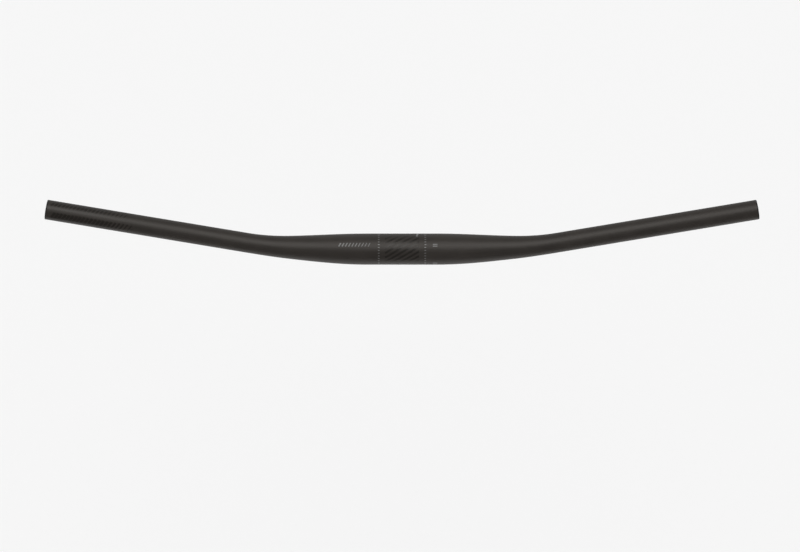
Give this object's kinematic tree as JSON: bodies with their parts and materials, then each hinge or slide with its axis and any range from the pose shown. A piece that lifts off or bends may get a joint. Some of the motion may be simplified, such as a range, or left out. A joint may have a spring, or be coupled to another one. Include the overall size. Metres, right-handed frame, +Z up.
{
  "type": "riser handlebar",
  "caption": "Hollow moulded bicycle handlebar: fat straight clamp land, tapered sides that bend up and back, and straight open-ended grips.",
  "frame": {"origin": "centre of the stem clamp land, on its axis", "axes": "+X along the bar to the rider's left, +Y back towards the rider, +Z up, as the bar is mounted on the bicycle"},
  "size_m": [0.8, 0.0634, 0.0561],
  "materials": {
    "moulded_tube": "satin dark grey lacquer over moulded carbon composite",
    "gloss_print": "glossy black ink",
    "pale_print": "flat light grey ink"
  },
  "bodies": {
    "root": {"handlebar": "moulded_tube"}
  },
  "joints": []
}
